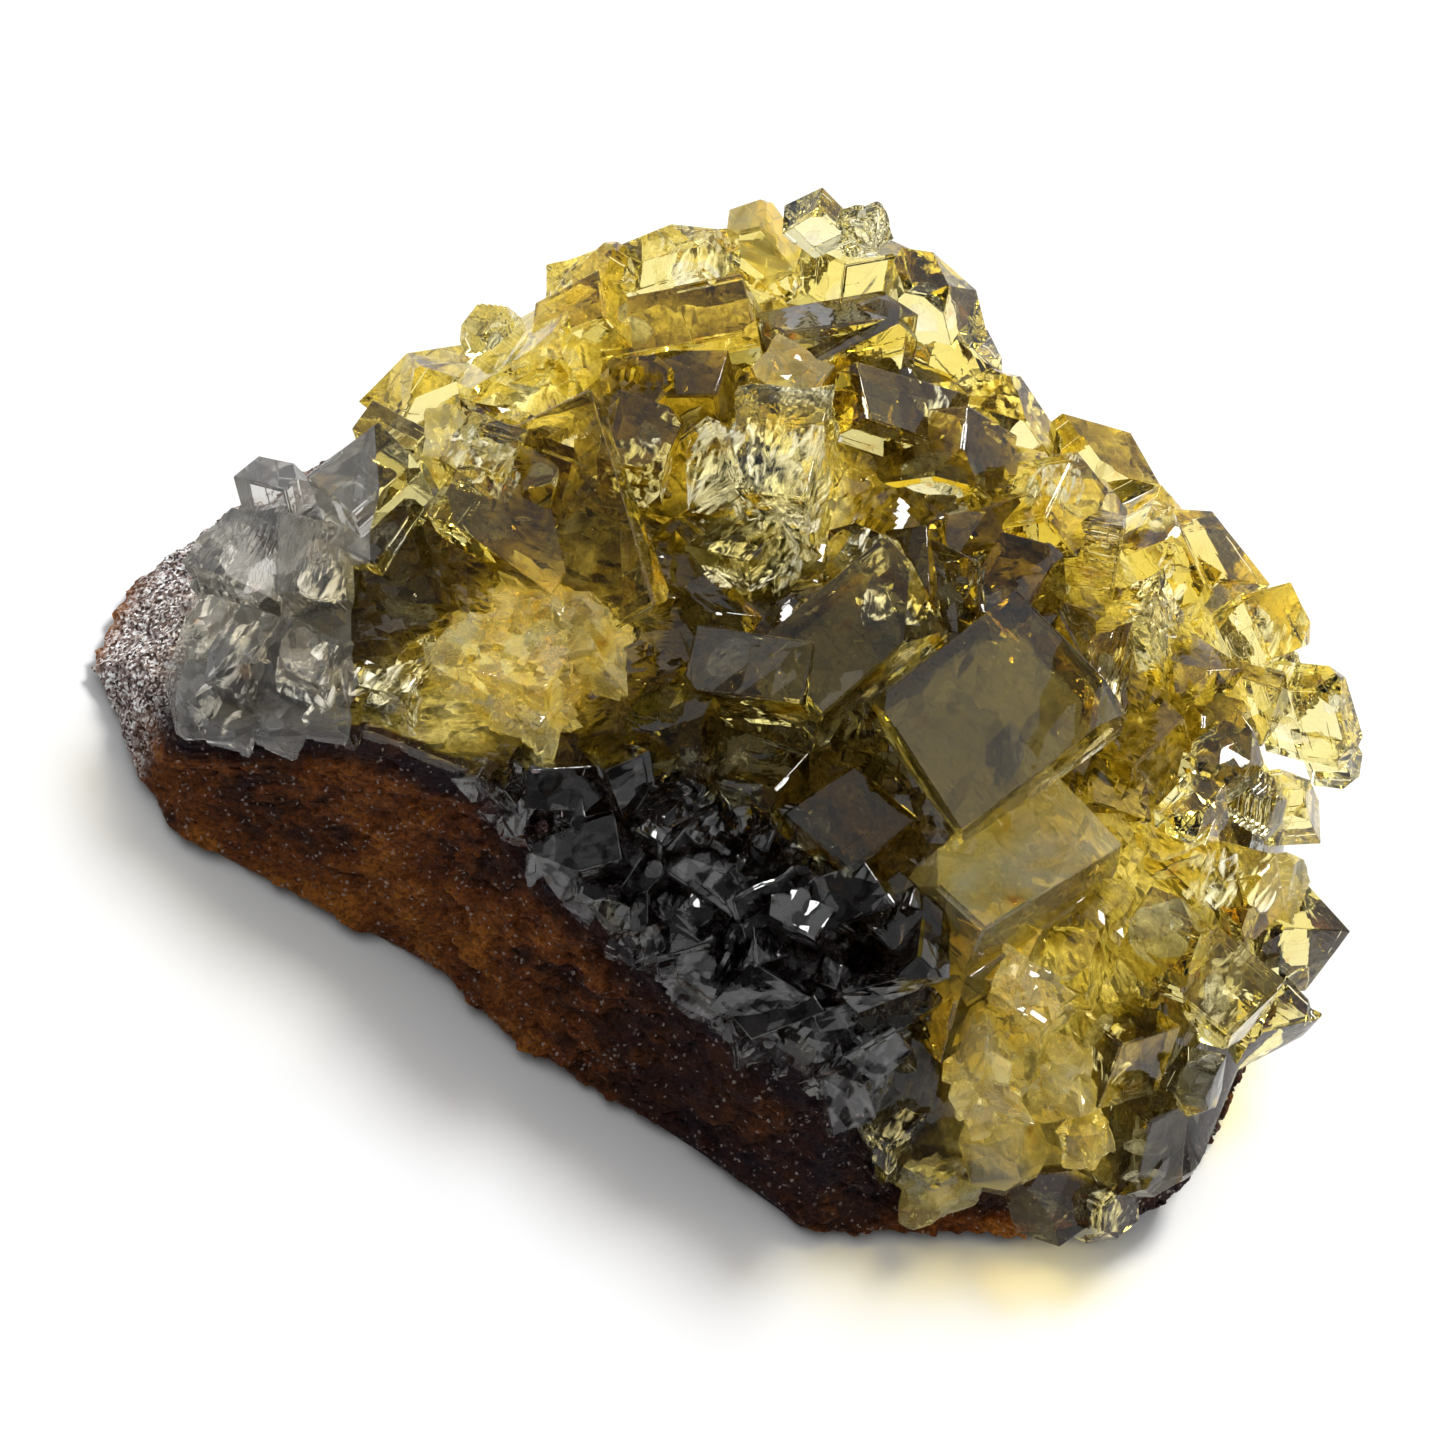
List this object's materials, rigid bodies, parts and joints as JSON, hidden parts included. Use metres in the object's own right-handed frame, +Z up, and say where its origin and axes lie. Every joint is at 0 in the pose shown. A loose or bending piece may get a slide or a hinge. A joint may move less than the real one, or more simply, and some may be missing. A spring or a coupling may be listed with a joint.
{
  "type": "fluorite crystal cluster",
  "caption": "Cluster of clear honey-yellow and colourless fluorite cubes grown into each other on a rough brown host rock with a dark root band, resting on its flat underside.",
  "frame": {"origin": "middle of the bounding box in plan, on the flat underside", "axes": "+X along the long front wall of the rock, +Y to the back, +Z up with the crystals on top"},
  "size_m": [0.0736, 0.0548, 0.0306],
  "materials": {
    "host_rock": "granular rock, dark rust brown with orange stains and fine glints",
    "dark_fluorite": "purple-black broken glassy fluorite, nearly opaque",
    "yellow_fluorite": "clear honey-yellow to olive fluorite, polished flat faces, cleavage cracks inside",
    "colourless_fluorite": "clear to milky fluorite with bright cleavage faces"
  },
  "bodies": {
    "root": {"host_rock": "host_rock", "dark_band": "dark_fluorite", "yellow_crystals": "yellow_fluorite", "colourless_crystals": "colourless_fluorite"}
  },
  "joints": []
}
